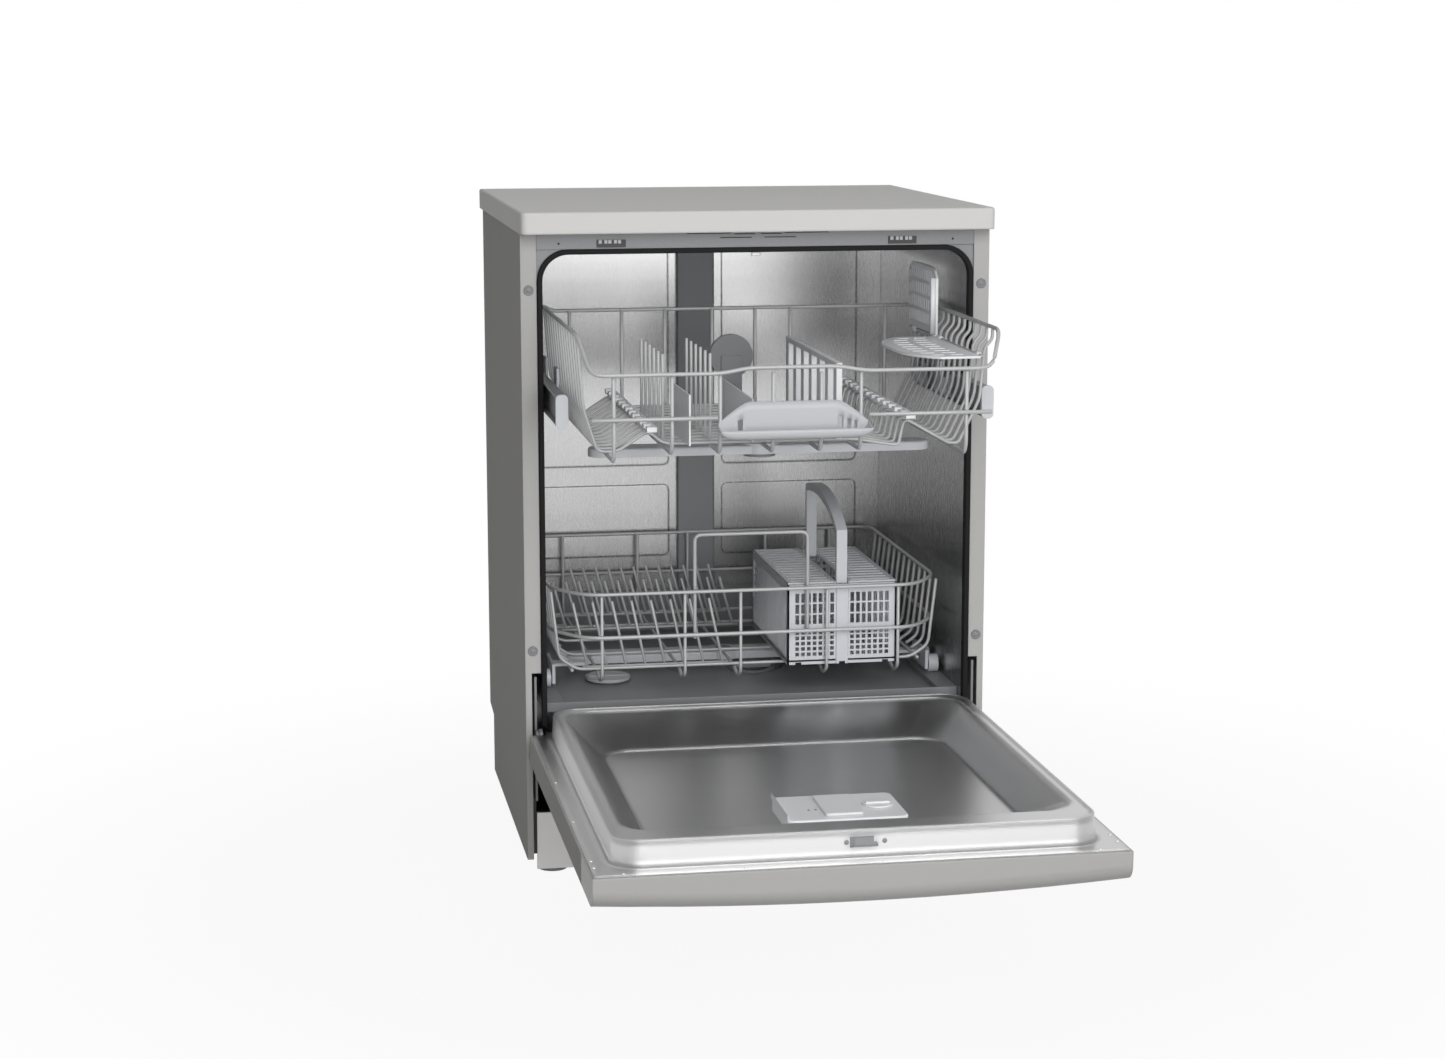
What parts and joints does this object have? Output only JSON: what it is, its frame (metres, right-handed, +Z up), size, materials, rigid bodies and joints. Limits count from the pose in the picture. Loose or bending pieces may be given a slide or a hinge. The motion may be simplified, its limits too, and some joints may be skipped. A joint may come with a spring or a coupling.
{
  "type": "dishwasher",
  "caption": "Free-standing silver dishwasher with its drop-down door open, steel tub, pull-out wire racks, spray arms and a cutlery basket.",
  "frame": {"origin": "on the floor under the middle of the whole object with its door open", "axes": "+X to the right seen from the front, +Y to the back, +Z up"},
  "size_m": [0.6, 1.182, 0.85],
  "materials": {
    "silver_worktop": "satin",
    "silver_sheet": "satin",
    "silver_plastic": "satin",
    "stainless": "satin",
    "plated_steel": "satin",
    "coated_wire": "satin",
    "grey_plastic": "matte",
    "white_plastic": "satin",
    "mid_grey_plastic": "matte",
    "black_plastic": "matte",
    "black_rubber": "matte"
  },
  "bodies": {
    "cabinet": {"worktop": "silver_worktop", "left_side_panel": "silver_sheet", "right_side_panel": "silver_sheet", "rear_panel": "plated_steel", "base_tray": "black_plastic", "plinth": "silver_sheet", "top_crossbar": "plated_steel", "frame_plugs": "mid_grey_plastic", "worktop_clips": "black_plastic", "door_strike": "stainless", "tub_wrap": "stainless", "tub_back": "stainless", "tub_floor": "mid_grey_plastic", "door_gasket": "black_rubber", "feed_channel": "mid_grey_plastic", "sump": "mid_grey_plastic", "flat_filter": "mid_grey_plastic", "circulation_pump": "black_plastic", "drain_pump": "black_plastic", "water_softener": "mid_grey_plastic", "hose_connectors": "black_plastic", "hinge_brackets": "plated_steel"},
    "door": {"door_liner": "stainless", "door_panel": "silver_sheet", "control_fascia": "silver_plastic", "hinge_arms": "plated_steel", "door_latch": "mid_grey_plastic", "dispenser_body": "grey_plastic"},
    "dispenser_lid": {"dispenser_lid": "grey_plastic"},
    "rinse_aid_cap": {"rinse_aid_cap": "grey_plastic"},
    "power_button": {"power_button": "black_plastic"},
    "start_button": {"start_button": "black_plastic"},
    "upper_rails": {"upper_rails": "plated_steel", "rail_end_caps": "grey_plastic"},
    "rail_rollers_front": {"rail_rollers_front": "grey_plastic"},
    "rail_rollers_rear": {"rail_rollers_rear": "grey_plastic"},
    "upper_rack": {"upper_rack": "coated_wire", "rack_handle": "white_plastic", "upper_feed_pipe": "grey_plastic", "rack_inserts": "grey_plastic", "rack_sliders": "grey_plastic"},
    "upper_spray_arm": {"upper_spray_arm": "grey_plastic"},
    "cup_shelf_front": {"cup_shelf_front": "grey_plastic"},
    "cup_shelf_rear": {"cup_shelf_rear": "grey_plastic"},
    "lower_rack": {"lower_rack": "coated_wire", "wheel_brackets": "grey_plastic", "cutlery_basket": "grey_plastic", "basket_handle": "grey_plastic"},
    "wheels_front_lead": {"wheels_front_lead": "grey_plastic"},
    "wheels_front_trail": {"wheels_front_trail": "grey_plastic"},
    "wheels_rear_lead": {"wheels_rear_lead": "grey_plastic"},
    "wheels_rear_trail": {"wheels_rear_trail": "grey_plastic"},
    "flap_left": {"flap_left": "grey_plastic"},
    "flap_right": {"flap_right": "grey_plastic"},
    "lower_spray_arm": {"lower_spray_arm": "grey_plastic"},
    "micro_filter": {"micro_filter": "mid_grey_plastic"},
    "salt_cap": {"salt_cap": "white_plastic"},
    "foot_front_left": {"foot_front_left": "grey_plastic"},
    "foot_front_right": {"foot_front_right": "grey_plastic"},
    "foot_rear": {"foot_rear": "grey_plastic"}
  },
  "joints": [
    {"name": "door_hinge", "type": "hinge", "parent": "cabinet", "child": "door", "pos_m": [0, 0.038, 0.188], "axis": [1, 0, 0], "range_deg": [-90, 0], "stiffness_Nm_per_rad": 6, "springref_deg": -90},
    {"name": "dispenser_lid_slide", "type": "slide", "parent": "door", "child": "dispenser_lid", "axis": [-1, 0, 0], "range_m": [0, 0.044]},
    {"name": "rinse_cap_twist", "type": "hinge", "parent": "door", "child": "rinse_aid_cap", "pos_m": [0.058, -0.387, 0.2], "axis": [0, 0, 1], "range_deg": [0, 90]},
    {"name": "power_press", "type": "slide", "parent": "door", "child": "power_button", "axis": [0, 0, 1], "range_m": [0, 0.0025], "stiffness_N_per_m": 400, "springref_m": -0.001},
    {"name": "start_press", "type": "slide", "parent": "door", "child": "start_button", "axis": [0, 0, 1], "range_m": [0, 0.0025], "stiffness_N_per_m": 400, "springref_m": -0.001},
    {"name": "upper_rail_slide", "type": "slide", "parent": "cabinet", "child": "upper_rails", "axis": [0, -1, 0], "range_m": [-0.27, 0]},
    {"name": "rail_roller_front_spin", "type": "hinge", "parent": "cabinet", "child": "rail_rollers_front", "pos_m": [0, 0.2073, 0.618], "axis": [1, 0, 0], "continuous": true},
    {"name": "rail_roller_rear_spin", "type": "hinge", "parent": "cabinet", "child": "rail_rollers_rear", "pos_m": [0, 0.2447, 0.618], "axis": [1, 0, 0], "continuous": true},
    {"name": "upper_rack_slide", "type": "slide", "parent": "upper_rails", "child": "upper_rack", "axis": [0, -1, 0], "range_m": [0, 0.13]},
    {"name": "upper_arm_spin", "type": "hinge", "parent": "upper_rack", "child": "upper_spray_arm", "pos_m": [0, 0.034, 0.552], "axis": [0, 0, 1], "continuous": true},
    {"name": "cup_shelf_front_fold", "type": "hinge", "parent": "upper_rack", "child": "cup_shelf_front", "pos_m": [0.24333, -0.034, 0.68], "axis": [0, 1, 0], "range_deg": [0, 90]},
    {"name": "cup_shelf_rear_fold", "type": "hinge", "parent": "upper_rack", "child": "cup_shelf_rear", "pos_m": [0.24333, 0.156, 0.68], "axis": [0, 1, 0], "range_deg": [-90, 0]},
    {"name": "lower_rack_slide", "type": "slide", "parent": "cabinet", "child": "lower_rack", "axis": [0, -1, 0], "range_m": [0, 0.48]},
    {"name": "wheels_front_lead_spin", "type": "hinge", "parent": "lower_rack", "child": "wheels_front_lead", "pos_m": [0, 0.165, 0.2343], "axis": [1, 0, 0], "continuous": true},
    {"name": "wheels_front_trail_spin", "type": "hinge", "parent": "lower_rack", "child": "wheels_front_trail", "pos_m": [0, 0.213, 0.2343], "axis": [1, 0, 0], "continuous": true},
    {"name": "wheels_rear_lead_spin", "type": "hinge", "parent": "lower_rack", "child": "wheels_rear_lead", "pos_m": [0, 0.395, 0.2343], "axis": [1, 0, 0], "continuous": true},
    {"name": "wheels_rear_trail_spin", "type": "hinge", "parent": "lower_rack", "child": "wheels_rear_trail", "pos_m": [0, 0.443, 0.2343], "axis": [1, 0, 0], "continuous": true},
    {"name": "flap_left_lift", "type": "hinge", "parent": "lower_rack", "child": "flap_left", "pos_m": [0.1115, 0.221, 0.36205], "axis": [0, 1, 0], "range_deg": [0, 90]},
    {"name": "flap_right_lift", "type": "hinge", "parent": "lower_rack", "child": "flap_right", "pos_m": [0.1315, 0.221, 0.36205], "axis": [0, -1, 0], "range_deg": [0, 90]},
    {"name": "lower_arm_spin", "type": "hinge", "parent": "cabinet", "child": "lower_spray_arm", "pos_m": [0, 0.301, 0.229], "axis": [0, 0, 1], "continuous": true},
    {"name": "micro_filter_twist", "type": "hinge", "parent": "cabinet", "child": "micro_filter", "pos_m": [0.0336, 0.2674, 0.2], "axis": [0, 0, 1], "range_deg": [0, 90]},
    {"name": "salt_cap_twist", "type": "hinge", "parent": "cabinet", "child": "salt_cap", "pos_m": [-0.17, 0.226, 0.218], "axis": [0, 0, 1], "range_deg": [0, 90]},
    {"name": "foot_front_left_turn", "type": "hinge", "parent": "cabinet", "child": "foot_front_left", "pos_m": [-0.262, 0.088, 0.02], "axis": [0, 0, 1], "continuous": true},
    {"name": "foot_front_right_turn", "type": "hinge", "parent": "cabinet", "child": "foot_front_right", "pos_m": [0.262, 0.088, 0.02], "axis": [0, 0, 1], "continuous": true},
    {"name": "foot_rear_turn", "type": "hinge", "parent": "cabinet", "child": "foot_rear", "pos_m": [0, 0.466, 0.02], "axis": [0, 0, 1], "continuous": true}
  ],
  "couplings": [
    {"joint": "upper_rail_slide", "follows": "door_hinge", "m_per_rad": 0.17189},
    {"joint": "rail_roller_front_spin", "follows": "door_hinge", "ratio": 10.948},
    {"joint": "rail_roller_rear_spin", "follows": "door_hinge", "ratio": 10.948},
    {"joint": "wheels_front_lead_spin", "follows": "lower_rack_slide", "rad_per_m": 83.333},
    {"joint": "wheels_front_trail_spin", "follows": "lower_rack_slide", "rad_per_m": 83.333},
    {"joint": "wheels_rear_lead_spin", "follows": "lower_rack_slide", "rad_per_m": 83.333},
    {"joint": "wheels_rear_trail_spin", "follows": "lower_rack_slide", "rad_per_m": 83.333}
  ]
}
